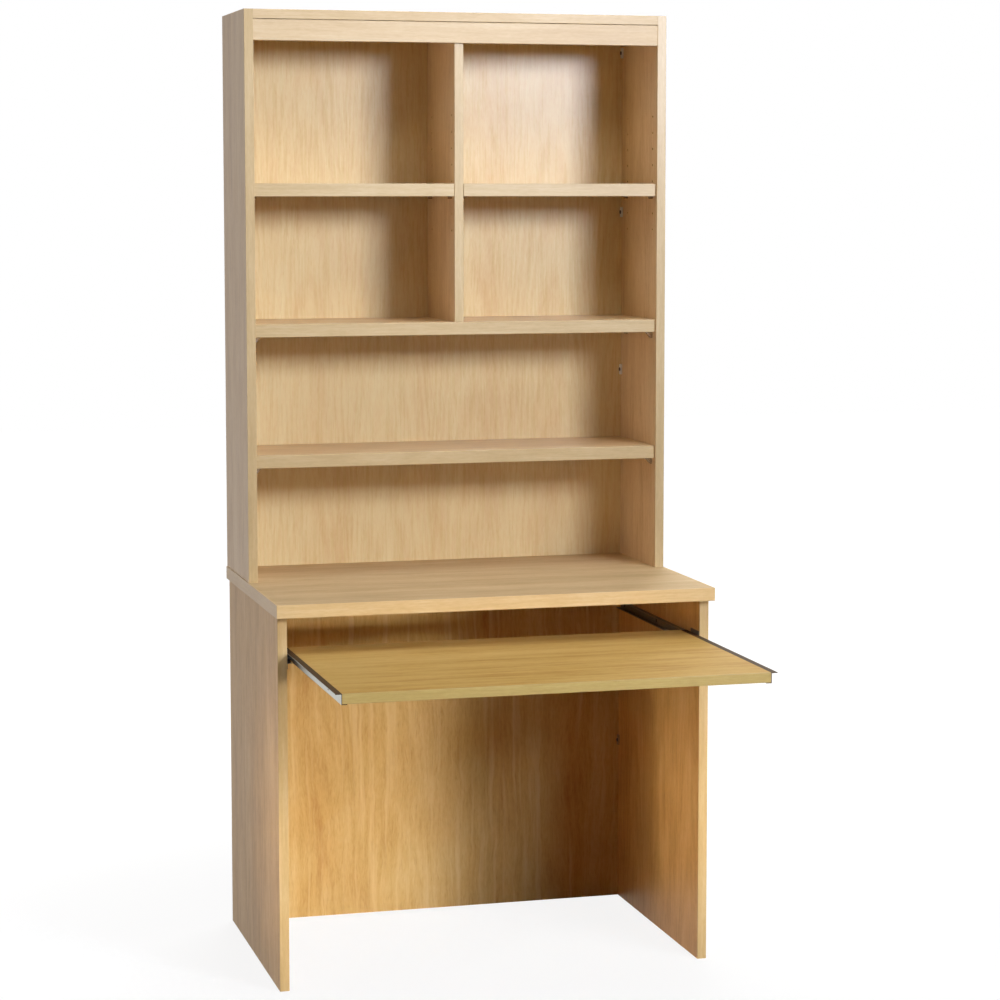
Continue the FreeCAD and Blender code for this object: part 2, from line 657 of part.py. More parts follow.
# Clear supports: a plate under the shelf, a brace that tapers down the side board, and a peg in its hole
def shelf_support(side, column, under):
    sign = sides[side]
    plate_x = mirrored(sign, f"({hutch_inner} - support_reach)", hutch_inner)
    plate_y = (f"({column} - support_width / 2)", f"({column} + support_width / 2)")
    plate = block("support_plate", plate_x, plate_y, (f"({under} - support_plate)", under))
    brace = document.addObject("Part::Wedge", "support_brace")
    upright = FreeCAD.Rotation(FreeCAD.Vector(1, 0, 0), 90)
    inward = FreeCAD.Rotation(FreeCAD.Vector(0, 0, 1), 180 if side == "right" else 0)
    brace.Placement = FreeCAD.Placement(FreeCAD.Vector(), inward.multiply(upright))
    for prop in ("Xmin", "X2min", "Ymin", "Zmin", "Z2min"):
        bind(brace, prop, "0")
    bind(brace, "Xmax", "support_foot")
    bind(brace, "X2max", "support_reach")
    bind(brace, "Ymax", "support_height - support_plate")
    bind(brace, "Zmax", "support_width")
    bind(brace, "Z2max", "support_width")
    bind(brace, "Placement.Base.x", f"({sign} * {hutch_inner})")
    bind(brace, "Placement.Base.y", f"({column} - ({sign}) * support_width / 2)")
    bind(brace, "Placement.Base.z", f"({under} - support_height)")
    peg_at = (column, f"({under} - support_height / 2)")
    peg_x = mirrored(sign, f"({hutch_inner} - support_foot / 2)", f"({hutch_inner} + pin_bite)")
    peg = rod("support_peg", "pin_radius", "x", *peg_x, peg_at)
    hole_x = mirrored(sign, f"({hutch_inner} - cut_overrun)", f"({hutch_inner} + pin_hole_depth)")
    hole = rod("support_hole", "pin_radius + pin_hole_clearance", "x", *hole_x, peg_at)
    cut_from([f"hutch_side_{side}"], hole)
    return joined("shelf_support", [plate, brace, peg])


# Middle and lower shelves: full width, each on four clear supports
shelf_core = f"({shelf_front} + edging_thickness)"
wide_x = (f"(-{hutch_inner} + shelf_side_gap)", f"({hutch_inner} - shelf_side_gap)")
for name, under in (("middle_shelf", middle_under), ("lower_shelf", lower_under)):
    shelf_z = (under, f"({under} + shelf_thickness)")
    pieces[name] = block(name + "_board", wide_x, (shelf_core, shelf_back), shelf_z)
    pieces[name + "_edging"] = rounded_block(
        name + "_edging", wide_x, (shelf_front, shelf_core), shelf_z, "edging_round", [("y", "low")])
    supports = [shelf_support(side, column, under) for side in sides for column in pin_columns]
    pieces[name + "_supports"] = gathered(name + "_support_set", supports)

# Divider: an upright between the middle shelf and the hutch top, notched round the fascia
divider_x = ("(-panel_thickness / 2)", "(panel_thickness / 2)")
divider_z = (middle_top, hutch_top_under)
pieces["divider"] = block("divider_board", divider_x, (shelf_core, shelf_back), divider_z)
notch_x = ("(-panel_thickness / 2 - cut_overrun)", "(panel_thickness / 2 + cut_overrun)")
notch_y = (f"({shelf_core} - cut_overrun)", f"({fascia_y[1]} + divider_notch_gap)")
notch_z = (f"({fascia_under} - divider_notch_gap)", f"({hutch_top_under} + cut_overrun)")
cut_from(["divider"], block("divider_notch", notch_x, notch_y, notch_z))
pieces["divider_edging"] = rounded_block(
    "divider_edging", divider_x, (shelf_front, shelf_core), (middle_top, notch_z[0]),
    "edging_round", [("y", "low")])
divider_dowels = []
for dowel_y in (f"({hutch_front} + dowel_margin)", f"({slab_back} - dowel_margin)"):
    divider_dowels.append(dowel("z", middle_top, "-1", ("0", dowel_y), "divider", "middle_shelf"))
    divider_dowels.append(dowel("z", hutch_top_under, "1", ("0", dowel_y), "divider", "hutch_top"))
pieces["divider_dowels"] = gathered("divider_dowel_set", divider_dowels)

# Upper shelves: one on each side of the divider, on steel pins in the rows of holes
upper_z = (upper_under, f"({upper_under} + shelf_thickness)")
upper_near = "(panel_thickness / 2 + shelf_side_gap)"
upper_far = f"({hutch_inner} - shelf_side_gap)"
pins = []
for side, sign in sides.items():
    label = f"upper_shelf_{side}"
    shelf_x = mirrored(sign, upper_near, upper_far)
    pieces[label] = block(label + "_board", shelf_x, (shelf_core, shelf_back), upper_z)
    pieces[f"upper_shelf_edging_{side}"] = rounded_block(
        f"upper_shelf_edging_{side}", shelf_x, (shelf_front, shelf_core), upper_z,
        "edging_round", [("y", "low")])
    for column in pin_columns:
        outer_pin = mirrored(sign, f"({hutch_inner} - pin_reach)", f"({hutch_inner} + pin_bite)")
        pins.append(rod("shelf_pin", "pin_radius", "x", *outer_pin, (column, pin_row_z)))
        face = "(panel_thickness / 2)"
        inner_pin = mirrored(sign, f"({face} - pin_bite)", f"({face} + pin_reach)")
        pins.append(rod("shelf_pin", "pin_radius", "x", *inner_pin, (column, pin_row_z)))
        hole_x = mirrored(sign, f"({face} - pin_hole_depth)", f"({face} + cut_overrun)")
        for number in range(pin_row_count):
            row_z = f"(desk_height + pin_first_row + {number} * pin_pitch)"
            hole = rod("pin_hole", "pin_radius + pin_hole_clearance", "x", *hole_x, (column, row_z))
            cut_from(["divider"], hole)
pieces["upper_shelf_pins"] = gathered("upper_shelf_pin_set", pins)

# Holes and notches are cut from the boards, blocks and runners that they pass
for name, tools in cutters.items():
    cut = document.addObject("Part::Cut", name + "_cut")
    cut.Base = pieces[name]
    cut.Tool = gathered(name + "_tools", tools)
    pieces[name] = cut
document.recompute()

# Every object has to be sound before any file is written
for item in document.Objects:
    if "Invalid" in item.State or "Error" in item.State:
        raise RuntimeError(f"{item.Label} failed to compute")
for name, item in pieces.items():
    item.Label = name
    if item.Shape.isNull() or not item.Shape.isValid() or not item.Shape.Solids:
        raise RuntimeError(f"{name} has no sound solid")
os.makedirs("parts", exist_ok=True)
for name, item in pieces.items():
    item.Shape.exportStep(f"parts/{name}.step")
    print(name, len(item.Shape.Solids), "solids", round(item.Shape.Volume), "cubic millimetres")
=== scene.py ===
import math
import bpy
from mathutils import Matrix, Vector

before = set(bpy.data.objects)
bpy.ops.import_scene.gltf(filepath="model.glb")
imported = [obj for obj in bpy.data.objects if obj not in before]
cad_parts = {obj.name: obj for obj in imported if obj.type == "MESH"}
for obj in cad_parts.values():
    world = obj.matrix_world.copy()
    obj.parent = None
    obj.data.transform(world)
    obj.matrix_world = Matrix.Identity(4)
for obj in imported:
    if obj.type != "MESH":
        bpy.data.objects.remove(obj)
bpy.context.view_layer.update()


# Desk sides
# Two boards of wood-print chipboard that stand on the floor, with the print upright on both faces. Their
# front edges are lipped with plastic strip, the sawn edges at the back and the foot are bare, and dowels
# hold the slab.
class Shade:
    """One output of a node in a material. Sums and products of shades add Math nodes to that material."""

    def __init__(self, tree, socket=None):
        self.tree = tree
        self.socket = socket

    def node(self, kind, settings, sockets, output=0):
        """Adds a node, sets its settings and then its sockets, and gives one of its outputs."""
        made = self.tree.nodes.new(kind)
        for name, value in settings.items():
            if name == "stops":
                ramp = made.color_ramp.elements
                while len(ramp) < len(value):
                    ramp.new(1)
                for stop, (place, tone) in zip(ramp, value):
                    stop.position = place
                    stop.color = tone
            else:
                setattr(made, name, value)
        for name, value in sockets.items():
            socket = next(item for item in made.inputs if item.identifier == name)
            if isinstance(value, Shade):
                self.tree.links.new(value.socket, socket)
            else:
                socket.default_value = value
        return Shade(self.tree, made.outputs[output] if made.outputs else None)

    def beside(self, output):
        """Another output of the same node."""
        return Shade(self.tree, self.socket.node.outputs[output])

    def math(self, operation, first, second=0.0):
        """The result of one Math node."""
        sockets = {"Value": first, "Value_001": second}
        return self.node("ShaderNodeMath", {"operation": operation}, sockets)

    def __add__(self, other):
        return self.math("ADD", self, other)

    def __radd__(self, other):
        return self.math("ADD", other, self)

    def __sub__(self, other):
        return self.math("SUBTRACT", self, other)

    def __rsub__(self, other):
        return self.math("SUBTRACT", other, self)

    def __mul__(self, other):
        return self.math("MULTIPLY", self, other)

    def __rmul__(self, other):
        return self.math("MULTIPLY", other, self)

    def __truediv__(self, other):
        return self.math("DIVIDE", self, other)

    def __rtruediv__(self, other):
        return self.math("DIVIDE", other, self)

    def __lt__(self, other):
        return self.math("LESS_THAN", self, other)

    def __gt__(self, other):
        return self.math("GREATER_THAN", self, other)

    def __abs__(self):
        return self.math("ABSOLUTE", self)

    def between(self, low, high):
        """Rises from 0 to 1 as this value goes from low to high."""
        sockets = {"Value": self, "From Min": low, "From Max": high}
        return self.node("ShaderNodeMapRange", {"interpolation_type": "SMOOTHSTEP"}, sockets)

    def tinted(self, stops):
        """This value as a colour, from stops of a place and a colour."""
        return self.node("ShaderNodeValToRGB", {"stops": stops}, {"Fac": self}, "Color")

    def mixed(self, first, second):
        """The first colour where this value is 0, and the second where it is 1."""
        sockets = {"Factor_Float": self, "A_Color": first, "B_Color": second}
        return self.node("ShaderNodeMix", {"data_type": "RGBA"}, sockets, "Result")


def colour(red, green, blue):
    """A colour as it shows on a screen, from 0 to 255, as the share of light that it sends back."""
    shares = [part / 255 for part in (red, green, blue)]
    return (*[s / 12.92 if s <= 0.04045 else ((s + 0.055) / 1.055) ** 2.4 for s in shares], 1.0)


def new_finish(name):
    """A material with no nodes yet, and a shade to start them from."""
    material = bpy.data.materials.new(name)
    material.use_nodes = True
    material.node_tree.nodes.clear()
    return material, Shade(material.node_tree)


def close_finish(start, sockets):
    """Ends a material in one shader with these sockets."""
    shader = start.node("ShaderNodeBsdfPrincipled", {}, sockets, "BSDF")
    start.node("ShaderNodeOutputMaterial", {"target": "ALL"}, {"Surface": shader})


def lay_on(material, *names):
    """Puts a material on pieces of the frame."""
    for name in names:
        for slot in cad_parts[name].material_slots:
            slot.material = material


def axes_of(start, vector):
    """The three parts of a vector by the name of their axis."""
    first = start.node("ShaderNodeSeparateXYZ", {}, {"Vector": vector}, "X")
    return {"x": first, "y": first.beside("Y"), "z": first.beside("Z")}


turned = 0.5


def facing_of(start):
    """How far the surface faces each axis, from -1 to 1. Beyond turned it counts as facing that axis."""
    return axes_of(start, start.node("ShaderNodeNewGeometry", {}, {}, "Normal"))


def chipboard(start, place):
    """The colour of the flakes that show on a sawn edge."""
    flake = start.node("ShaderNodeTexVoronoi", {}, {"Vector": place, "Scale": 420.0}, "Color")
    stops = [(0.15, colour(128, 94, 58)), (0.5, colour(186, 150, 104)), (0.85, colour(219, 192, 148))]
    return flake.tinted(stops)


def wood_print(name, thin, grain, tones, seed, sawn=True, bands=0.45, streaks=0.4, lines=0.35, arches=0.15,
               pale=0.0, wander=0.012, rough=0.45, shine=0.5):
    """Printed wood: thin is the axis of the board's thickness and grain the way that the print runs.

    tones are its dark, body and light colours, and seed picks a stretch of the print. bands, streaks, lines
    and arches say how strong the broad, middle and fine stripes and the nested arches are, and pale how
    strong the light streaks are. wander is how far the stripes stray, in metres. sawn leaves the board's
    narrow faces as bare chipboard, apart from those that face up. rough and shine are the gloss of the film
    that seals the print.
    """
    material, start = new_finish(name)
    place = start.node("ShaderNodeTexCoord", {}, {}, "Object")
    axes = axes_of(start, place)
    along = axes[grain]
    across = next(axes[axis] for axis in "xyz" if axis not in (thin, grain))
    depth = axes[thin]
    half = 0.5

    def drift(sideways, width, length, detail, offset):
        """Soft noise about 0, in spots of about this width across the grain and this length along it."""
        sockets = {"X": sideways / width + (seed + offset), "Y": depth / width, "Z": along / length}
        vector = start.node("ShaderNodeCombineXYZ", {}, sockets)
        noise = {"Vector": vector, "Scale": 1.0, "Detail": detail, "Roughness": 0.55}
        return start.node("ShaderNodeTexNoise", {}, noise, "Fac") - half

    # Stripes, clouds and flecks, all bent alike
    ripple_share = 0.3
    sway = drift(across, width=0.16, length=0.34, detail=1.0, offset=3.1)
    ripple = drift(across, width=0.022, length=0.05, detail=1.0, offset=5.9)
    bent = across + (sway + ripple * ripple_share) * wander
    broad = drift(bent, width=0.075, length=1.6, detail=2.0, offset=7.7)
    middle = drift(bent, width=0.016, length=0.42, detail=3.0, offset=13.3)
    fine = drift(bent, width=0.0042, length=0.11, detail=2.0, offset=29.9)
    clouds = drift(bent, width=0.045, length=0.14, detail=2.0, offset=83.7)
    flecks = drift(bent, width=0.0028, length=0.013, detail=1.0, offset=97.3)
    pores = drift(bent, width=0.0016, length=0.022, detail=1.0, offset=41.3).between(0.08, 0.24)

    # Nested arches in leaves of veneer side by side, which fade in and out
    leaf_width = 0.17
    leaf_shift = 0.37
    arch_curve = 620
    arch_rise = 7
    arch_wobble = 0.5
    arch_start = 0.25
    leaf = bent / leaf_width + seed
    leaf_number = start.math("FLOOR", leaf)
    from_middle = (leaf - leaf_number - half) * leaf_width
    cycles = from_middle * from_middle * arch_curve + along * arch_rise
    cycles = cycles + leaf_number * leaf_shift + middle * arch_wobble + arch_start
    shown = drift(bent, width=0.09, length=0.3, detail=1.0, offset=53.9) + half
    rings = start.math("SINE", cycles * math.tau) * shown

    # Colour
    cloud_share = 0.45
    fleck_share = 0.3
    pore_share = 0.3
    dark, body, light = tones
    tone = half + broad * bands + middle * streaks + fine * lines + rings * (arches * half)
    tone = tone + clouds * cloud_share + flecks * fleck_share
    print_colour = tone.tinted([(0.12, dark), (half, body), (0.88, light)])
    print_colour = (pores * pore_share).mixed(print_colour, dark)
    if pale:
        glints = drift(bent, width=0.012, length=0.36, detail=2.0, offset=67.1).between(0.0, 0.24)
        print_colour = (glints * pale).mixed(print_colour, light)

    # Gloss and relief
    rough_swing = 0.16
    sawn_rough = 0.4
    pore_depth = 0.6
    roughness = rough + fine * rough_swing
    if sawn:
        facing = facing_of(start)
        bare = (abs(facing[thin]) < turned) * (1 - (facing["z"] > turned))
        print_colour = bare.mixed(print_colour, chipboard(start, place))
        roughness = roughness + bare * sawn_rough
    relief = {"Strength": 0.12, "Distance": 0.0003, "Height": fine - pores * pore_depth}
    normal = start.node("ShaderNodeBump", {}, relief, "Normal")
    looks = {"Base Color": print_colour, "Roughness": roughness, "Normal": normal}
    close_finish(start, {**looks, "Specular IOR Level": shine})
    return material


# The right board's print is made warmer than the left one's: painted warm shade, standing in for the warm
# bounced light in the shade on its inner face
desk_tones_right_shade_warmed = {
    "left": (colour(178, 131, 75), colour(214, 175, 116), colour(233, 201, 146)),
    "right": (colour(186, 132, 71), colour(221, 176, 109), colour(238, 201, 139)),
}
for number, (side, tones) in enumerate(desk_tones_right_shade_warmed.items()):
    side_print = wood_print(f"desk_side_print_{side}", "x", "z", tones, seed=11.0 + 6.5 * number, shine=0.2)
    lay_on(side_print, f"desk_side_{side}")

# Edging of the desk
# Plastic strip in the same print, pressed on to the front edges of the sides and round the slab with hot
# glue. It is plainer than the boards, and its corners are rounded by the trimming cutter.
strip_looks = {"sawn": False, "bands": 0.3, "streaks": 0.5, "lines": 0.5, "arches": 0.0, "rough": 0.36}
side_strip_tones = (colour(190, 155, 98), colour(206, 174, 120), colour(219, 192, 144))
upright_strip = wood_print("desk_strip_upright", "y", "z", side_strip_tones, seed=23.0, shine=0.2,
                           **strip_looks)
lay_on(upright_strip, "desk_side_edging_left", "desk_side_edging_right")

# Desk back
# A board of wood-print chipboard between the sides, from the floor to the slab, which keeps the desk
# square. Its print has long wavy stripes of gold and brown. Corner blocks hold it to the sides.
back_tones = (colour(188, 134, 72), colour(218, 179, 112), colour(234, 205, 146))
desk_back_print = wood_print("desk_back_print", "y", "z", back_tones, seed=37.0, bands=0.6, streaks=0.35,
                             lines=0.2, arches=0.1, pale=0.6, wander=0.03, shine=0.05)
lay_on(desk_back_print, "desk_back")


# Corner blocks
# Slim plastic blocks in the corners, white in the hutch and tan in the desk, which join the backs and the
# slab to the side boards. Each has two pegs in one board and a dark screw with a crossed recess in the
# other.
def mottle(start, scale, detail):
    """Soft noise over a piece, from 0 to 1, with about this many spots to the metre."""
    place = start.node("ShaderNodeTexCoord", {}, {}, "Object")
    return start.node("ShaderNodeTexNoise", {}, {"Vector": place, "Scale": scale, "Detail": detail}, "Fac")


def uneven(value, noise, swing):
    """A value that rises and falls with a noise, by this much from the least to the most."""
    return value + (noise - 0.5) * swing


def moulded_plastic(name, tone, shade, rough):
    """Moulded plastic: two near tones in soft clouds, with a fine grain from the mould."""
    material, start = new_finish(name)
    clouds = mottle(start, scale=90.0, detail=3.0)
    grit = mottle(start, scale=2600.0, detail=1.0)
    relief = {"Strength": 0.1, "Distance": 0.0001, "Height": grit}
    normal = start.node("ShaderNodeBump", {}, relief, "Normal")
    roughness = uneven(rough, clouds, swing=0.2)
    close_finish(start, {"Base Color": clouds.mixed(tone, shade), "Roughness": roughness, "Normal": normal})
    return material


def plated_steel(name, tone, shade, rough):
    """Plated steel: bright metal whose plating is a little uneven."""
    material, start = new_finish(name)
    blooms = mottle(start, scale=260.0, detail=4.0)
    roughness = uneven(rough, blooms, swing=0.25)
    close_finish(start, {"Base Color": blooms.mixed(tone, shade), "Metallic": 1.0, "Roughness": roughness})
    return material


white_plastic = moulded_plastic("white_plastic", colour(238, 236, 228), colour(218, 214, 202), rough=0.4)
lay_on(white_plastic, "hutch_blocks")
tan_plastic = moulded_plastic("tan_plastic", colour(172, 138, 94), colour(154, 122, 82), rough=0.4)
lay_on(tan_plastic, "desk_back_blocks", "desk_top_blocks")
screw_steel = plated_steel("screw_steel", colour(104, 98, 88), colour(78, 73, 66), rough=0.36)
lay_on(screw_steel, "desk_back_block_screws", "desk_top_block_screws", "hutch_block_screws")

# Desk top
# A thick slab of wood-print chipboard with the print across it, lipped with plastic strip on its front and
# ends. It lies on the sides on fluted wooden dowels.
slab_tones = (colour(182, 150, 102), colour(208, 179, 133), colour(224, 199, 156))
slab_print = wood_print("slab_print", "z", "x", slab_tones, seed=51.0, bands=0.4, streaks=0.45, lines=0.4,
                        arches=0.1, rough=0.6, shine=0.12)
lay_on(slab_print, "desk_top")
slab_strip_tones = (colour(205, 168, 106), colour(221, 187, 130), colour(234, 206, 155))
front_strip = wood_print("desk_strip_front", "y", "x", slab_strip_tones, seed=61.0, **strip_looks)
lay_on(front_strip, "desk_top_edging_front")
end_strip = wood_print("desk_strip_ends", "x", "y", slab_strip_tones, seed=67.0, shine=0.2, **strip_looks)
lay_on(end_strip, "desk_top_edging_left", "desk_top_edging_right")
dowel_tones = (colour(176, 140, 96), colour(206, 174, 130), colour(222, 194, 152))
dowel_wood = wood_print("dowel_wood", "y", "z", dowel_tones, seed=71.0, sawn=False, arches=0.0, rough=0.6)
doweled = ("desk_top", "hutch_foot", "hutch_top", "fascia", "divider")
lay_on(dowel_wood, *[f"{joint}_dowels" for joint in doweled])


# Cabinet runners
# Channels of folded steel, coated dark brown and screwed to the desk sides, with a tall tab at the front.
# A nylon roller turns on a riveted axle at the mouth of each one.
def coated_steel(name, tone, shade, rough):
    """Steel with a baked coating: dark and glossy, with the faint ripple that such a coating dries with."""
    material, start = new_finish(name)
    ripple = mottle(start, scale=700.0, detail=2.0)
    wear = mottle(start, scale=45.0, detail=4.0)
    relief = {"Strength": 0.06, "Distance": 0.0002, "Height": ripple}
    normal = start.node("ShaderNodeBump", {}, relief, "Normal")
    roughness = uneven(rough, wear, swing=0.2)
    close_finish(start, {"Base Color": wear.mixed(tone, shade), "Roughness": roughness, "Normal": normal})
    return material


cabinet_coating = coated_steel("cabinet_runner_coating", colour(98, 87, 70), colour(116, 104, 85), rough=0.36)
lay_on(cabinet_coating, "runner_cabinet_left", "runner_cabinet_right")
lay_on(screw_steel, "runner_screws")
black_nylon = moulded_plastic("black_nylon", colour(34, 33, 32), colour(48, 47, 45), rough=0.45)
lay_on(black_nylon, *[f"{end}_roller_{side}" for end in ("front", "rear") for side in ("left", "right")])
axle_steel = plated_steel("axle_steel", colour(186, 184, 178), colour(140, 138, 134), rough=0.28)
lay_on(axle_steel, "front_roller_axles", "rear_roller_axles")

# Keyboard shelf
# A thinner board of wood-print chipboard with a strip on its front edge, drawn out on the runners. Its
# print is a little more olive than the slab's and runs across it in long gold stripes.
keyboard_tones = (colour(172, 127, 58), colour(199, 161, 89), colour(213, 181, 113))
keyboard_print = wood_print("keyboard_print", "z", "x", keyboard_tones, seed=83.0, bands=0.75, streaks=0.42,
                            lines=0.4, arches=0.1, pale=0.4, rough=0.58, shine=0.1)
lay_on(keyboard_print, "keyboard_shelf")
keyboard_strip_tones = (colour(165, 138, 71), colour(182, 155, 87), colour(198, 173, 107))
keyboard_strip = wood_print("keyboard_strip", "y", "x", keyboard_strip_tones, seed=89.0, **strip_looks)
lay_on(keyboard_strip, "keyboard_shelf_edging")

# Shelf runners
# Folded steel with a lip screwed under the shelf and a flange on top that rides the rollers. The web is
# bright zinc, and the faces of the flange and lip that point up or down are coloured a dull dark brown. A
# second roller turns on an axle at the rear of each one.
shelf_steel, start = new_finish("shelf_runner_steel")
web = abs(facing_of(start)["x"]) > turned
blooms = mottle(start, scale=260.0, detail=4.0)
zinc = blooms.mixed(colour(184, 185, 176), colour(160, 161, 153))
# Faces that point up or down get this dull dark brown in place of zinc
flange_dark_tone = blooms.mixed(colour(66, 50, 34), colour(84, 66, 46))
flange_rough = 0.62
zinc_rough = 0.32
rubbed = uneven(flange_rough - web * (flange_rough - zinc_rough), blooms, swing=0.2)
looks = {"Base Color": web.mixed(flange_dark_tone, zinc), "Metallic": web, "Roughness": rubbed}
close_finish(start, {**looks, "Specular IOR Level": 0.1})
lay_on(shelf_steel, "runner_shelf_left", "runner_shelf_right")
lay_on(screw_steel, "shelf_runner_screws")

# Hutch sides
# Two tall boards of wood-print chipboard that stand on the slab, lipped at the front, with two columns of
# blind holes for shelf pins on their inner faces. Dowels hold them to the slab.
hutch_tones = (colour(184, 146, 98), colour(215, 184, 138), colour(232, 207, 166))
for number, side in enumerate(("left", "right")):
    side_print = wood_print(f"hutch_side_print_{side}", "x", "z", hutch_tones, seed=97.0 + 6.5 * number)
    lay_on(side_print, f"hutch_side_{side}")
hutch_strip_tones = (colour(180, 151, 101), colour(199, 172, 124), colour(213, 190, 147))
hutch_strip = wood_print("hutch_strip_upright", "y", "z", hutch_strip_tones, seed=113.0, **strip_looks)
lay_on(hutch_strip, "hutch_side_edging_left", "hutch_side_edging_right")

# Hutch top
# A board of wood-print chipboard between the sides, with a lipped front, and a fascia rail close under its
# front edge. Both are doweled to the sides.
hutch_top_print = wood_print("hutch_top_print", "z", "x", hutch_tones, seed=127.0, rough=0.6, shine=0.12)
lay_on(hutch_top_print, "hutch_top")
top_strip_tones = (colour(192, 163, 118), colour(211, 184, 141), colour(224, 201, 163))
level_strip = wood_print("hutch_strip_level", "y", "x", top_strip_tones, seed=131.0, shine=0.25,
                         **strip_looks)
lay_on(level_strip, "hutch_top_edging")
fascia_tones = (colour(194, 163, 118), colour(210, 183, 140), colour(222, 200, 161))
fascia_print = wood_print("fascia_print", "y", "x", fascia_tones, seed=139.0, sawn=False, bands=0.4,
                          streaks=0.8, arches=0.0)
lay_on(fascia_print, "hutch_fascia")

# Hutch back
# A board of wood-print chipboard behind the shelves, with the print upright in soft pale bands, short
# flecks and faint arches. Corner blocks hold it to the sides.
hutch_back_tones = (colour(213, 173, 119), colour(227, 201, 146), colour(236, 219, 170))
hutch_back_print = wood_print("hutch_back_print", "y", "z", hutch_back_tones, seed=149.0, bands=0.42,
                              streaks=0.16, lines=0.08, arches=0.2, pale=0.12, rough=0.28, shine=0.4)
lay_on(hutch_back_print, "hutch_back")


# Middle and lower shelves
# Thick boards of wood-print chipboard across the whole hutch, lipped at the front. Each lies on four
# supports of clear plastic that are pegged into the sides.
def clear_plastic(name, tint, rough):
    """Clear moulded plastic with slight flow marks."""
    material, start = new_finish(name)
    flow = mottle(start, scale=180.0, detail=2.0)
    roughness = uneven(rough, flow, swing=0.12)
    looks = {"Base Color": tint, "Roughness": roughness, "IOR": 1.49, "Transmission Weight": 0.8}
    close_finish(start, looks)
    return material


shelf_tones = (colour(184, 146, 98), colour(211, 179, 132), colour(226, 200, 158))
shelf_supports = clear_plastic("clear_plastic", colour(246, 238, 224), rough=0.1)
for number, shelf in enumerate(("middle_shelf", "lower_shelf")):
    board_seed = 163.0 + 5.5 * number
    strip_seed = 173.0 + 4.5 * number
    shelf_print = wood_print(f"{shelf}_print", "z", "x", shelf_tones, seed=board_seed, arches=0.1, rough=0.4)
    lay_on(shelf_print, shelf)
    shelf_strip = wood_print(f"{shelf}_strip", "y", "x", hutch_strip_tones, seed=strip_seed, **strip_looks)
    lay_on(shelf_strip, f"{shelf}_edging")
    lay_on(shelf_supports, f"{shelf}_supports")

# Divider
# An upright board of wood-print chipboard between the middle shelf and the hutch top, lipped at the front and
# notched round the fascia rail. It has pin holes on both faces and dowels at both ends.
divider_print = wood_print("divider_print", "x", "z", hutch_tones, seed=181.0)
lay_on(divider_print, "divider")
divider_strip = wood_print("divider_strip", "y", "z", hutch_strip_tones, seed=191.0, **strip_looks)
lay_on(divider_strip, "divider_edging")

# Upper shelves
# Two short boards of wood-print chipboard, one on each side of the divider, lipped at the front. They lie
# loose on dark bronzed steel pins in the rows of holes.
for number, side in enumerate(("left", "right")):
    board_seed = 199.0 + 5.5 * number
    strip_seed = 211.0 + 4.5 * number
    upper_print = wood_print(f"upper_shelf_print_{side}", "z", "x", shelf_tones, seed=board_seed, arches=0.1)
    lay_on(upper_print, f"upper_shelf_{side}")
    upper_strip = wood_print(f"upper_strip_{side}", "y", "x", hutch_strip_tones, seed=strip_seed,
                             **strip_looks)
    lay_on(upper_strip, f"upper_shelf_edging_{side}")
pin_steel = plated_steel("pin_steel", colour(164, 134, 98), colour(126, 100, 72), rough=0.36)
lay_on(pin_steel, "upper_shelf_pins")


# Floor and background
# A plain pale floor that keeps the object's shadow near its foot and turns as white as the background
# further out. The world is white where it is seen, and gives the object almost no light.
def seen_directly(start):
    """1 for rays from the camera, and for those that metal and clear plastic turn on to the background."""
    ray = start.node("ShaderNodeLightPath", {}, {}, "Is Camera Ray")
    seen = ray + ray.beside("Is Glossy Ray") + ray.beside("Is Transmission Ray")
    return start.math("MINIMUM", seen, 1.0)


def grey(level):
    """A grey at this share of white."""
    return (level, level, level, 1.0)


floor_half = 12.0
floor_drop = 0.0005
floor_mesh = bpy.data.meshes.new("floor")
corners = [(-1, -1), (1, -1), (1, 1), (-1, 1)]
floor_points = [(x * floor_half, y * floor_half, -floor_drop) for x, y in corners]
floor_mesh.from_pydata(floor_points, [], [(0, 1, 2, 3)])
floor = bpy.data.objects.new("floor", floor_mesh)
bpy.context.scene.collection.objects.link(floor)
near_reach = 0.7
far_reach = 2.2
near_glow = 0.88
far_glow = 1.02
shadow_tone = grey(0.14)
floor_tone = (0.15, 0.14, 0.13, 1.0)
floor_paint, start = new_finish("floor_paint")
spot = start.node("ShaderNodeTexCoord", {}, {}, "Object")
reach = start.node("ShaderNodeVectorMath", {"operation": "LENGTH"}, {"Vector": spot}, "Value")
fading = reach.between(near_reach, far_reach).mixed(grey(near_glow / far_glow), grey(1.0))
glow = start.node("ShaderNodeEmission", {}, {"Color": fading, "Strength": far_glow})
shaded = start.node("ShaderNodeBsdfDiffuse", {}, {"Color": shadow_tone})
lit = start.node("ShaderNodeAddShader", {}, {"Shader": glow, "Shader_001": shaded})
plain = start.node("ShaderNodeBsdfDiffuse", {}, {"Color": floor_tone})
layers = {"Fac": seen_directly(start), "Shader": plain, "Shader_001": lit}
shown = start.node("ShaderNodeMixShader", {}, layers)
start.node("ShaderNodeOutputMaterial", {"target": "ALL"}, {"Surface": shown})
floor_mesh.materials.append(floor_paint)

ambient = 0.02
world = bpy.data.worlds.new("white_studio")
world.use_nodes = True
world.node_tree.nodes.clear()
start = Shade(world.node_tree)
strength = ambient + seen_directly(start) * (1 - ambient)
sky = start.node("ShaderNodeBackground", {}, {"Color": grey(1.0), "Strength": strength})
start.node("ShaderNodeOutputWorld", {"target": "ALL"}, {"Surface": sky})
bpy.context.scene.world = world


